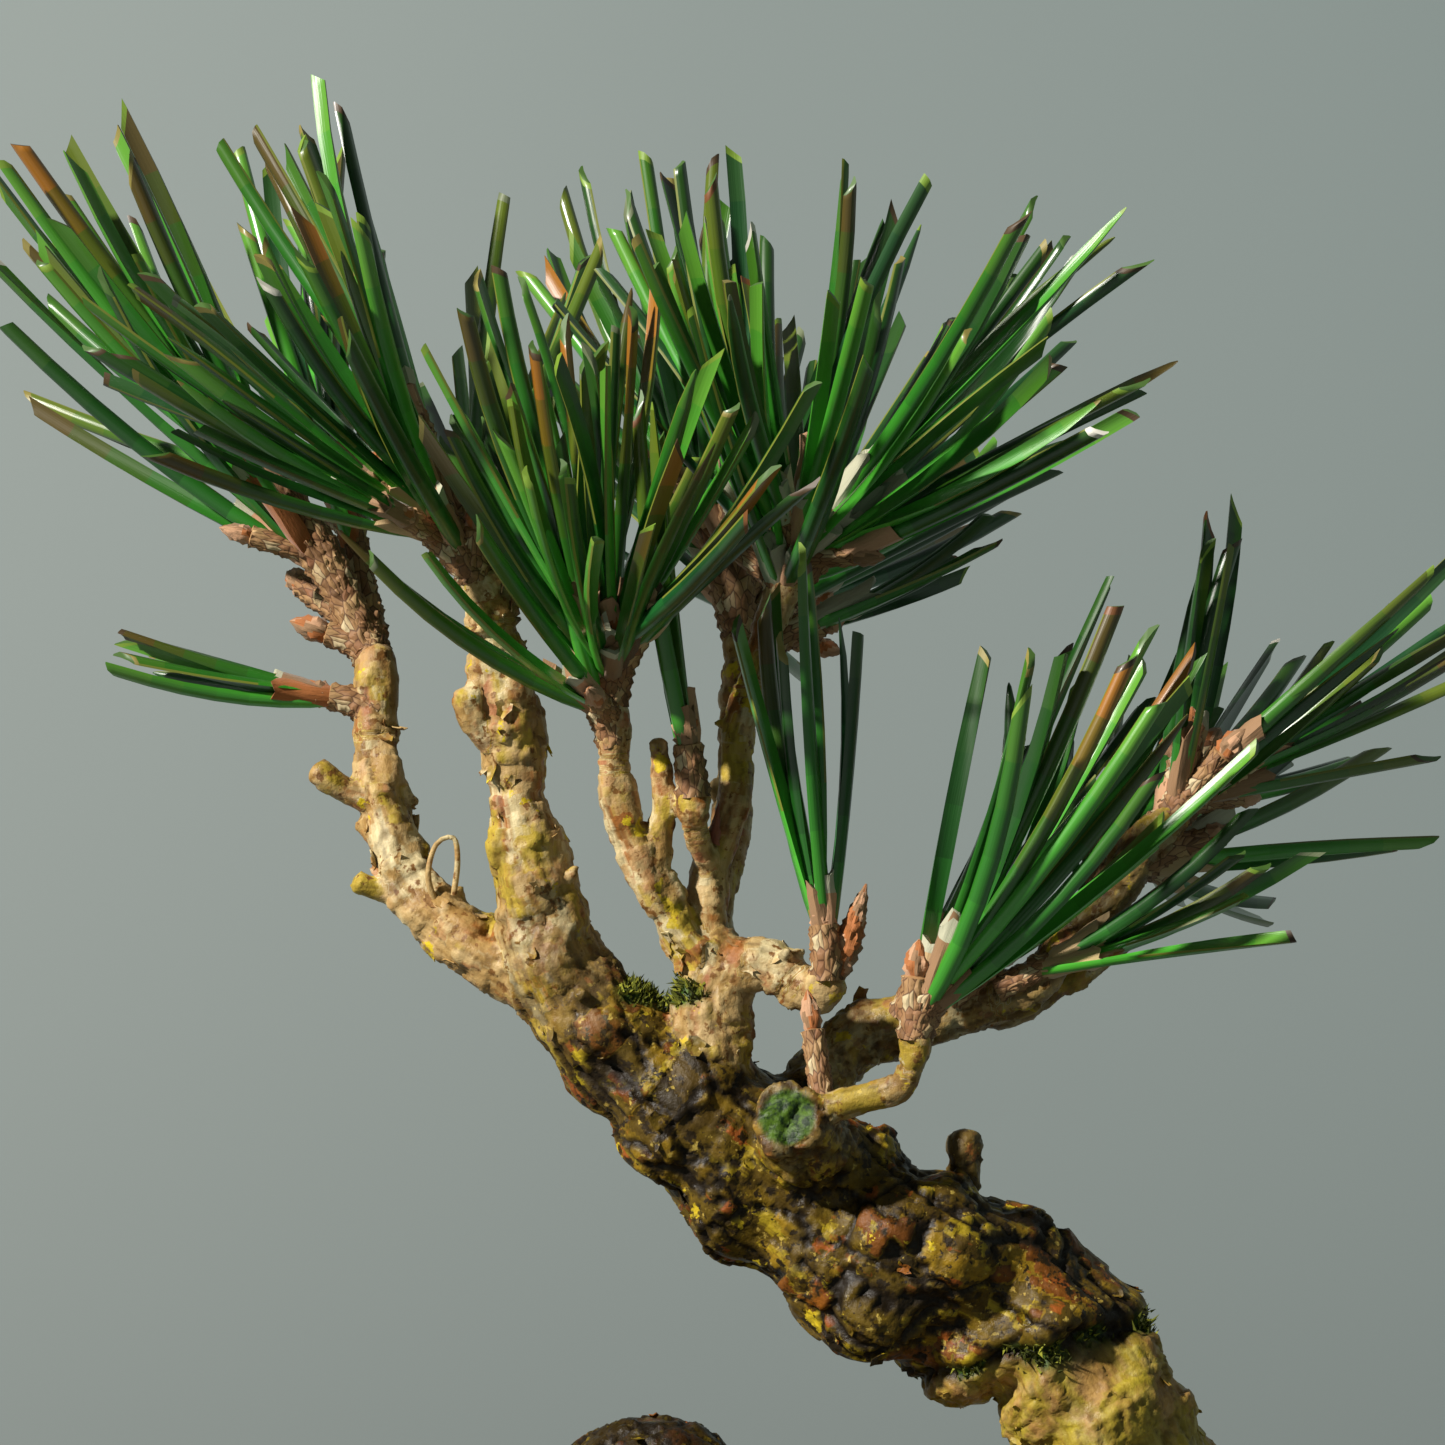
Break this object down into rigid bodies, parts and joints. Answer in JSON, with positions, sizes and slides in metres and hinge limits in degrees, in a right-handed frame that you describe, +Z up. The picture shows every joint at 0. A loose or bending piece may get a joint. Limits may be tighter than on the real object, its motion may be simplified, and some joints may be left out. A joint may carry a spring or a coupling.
{
  "type": "japanese black pine bonsai",
  "caption": "Small potted black pine bonsai: a bent, flaking trunk with pale young boughs and tufts of stiff, paired, clipped needles, in a plain unglazed rectangular pot.",
  "frame": {"origin": "middle of the pot's flat underside", "axes": "+X to the right of the picture's view and along the pot's long side, +Y to the back, +Z up"},
  "size_m": [0.1163, 0.0865, 0.169],
  "materials": {
    "clay": "matte",
    "soil": "matte",
    "old_bark": "matte",
    "young_bark": "matte",
    "needles": "satin"
  },
  "bodies": {
    "root": {"pot": "clay", "soil": "soil", "trunk_foot": "old_bark", "trunk_bend": "old_bark", "trunk_top": "old_bark", "bough_left": "young_bark", "bough_outer": "young_bark", "bough_fork": "young_bark", "bough_inner_left": "young_bark", "bough_inner_right": "young_bark", "bough_low": "young_bark", "bough_short": "young_bark", "bough_back": "young_bark", "bough_right": "young_bark", "front_stub": "young_bark", "front_twig": "young_bark", "needles_front": "needles", "needles_right_front": "needles", "needles_low": "needles", "needles_centre": "needles", "needles_left_front": "needles", "needles_top": "needles", "needles_right": "needles", "needles_left_outer": "needles", "needles_back": "needles"}
  },
  "joints": []
}
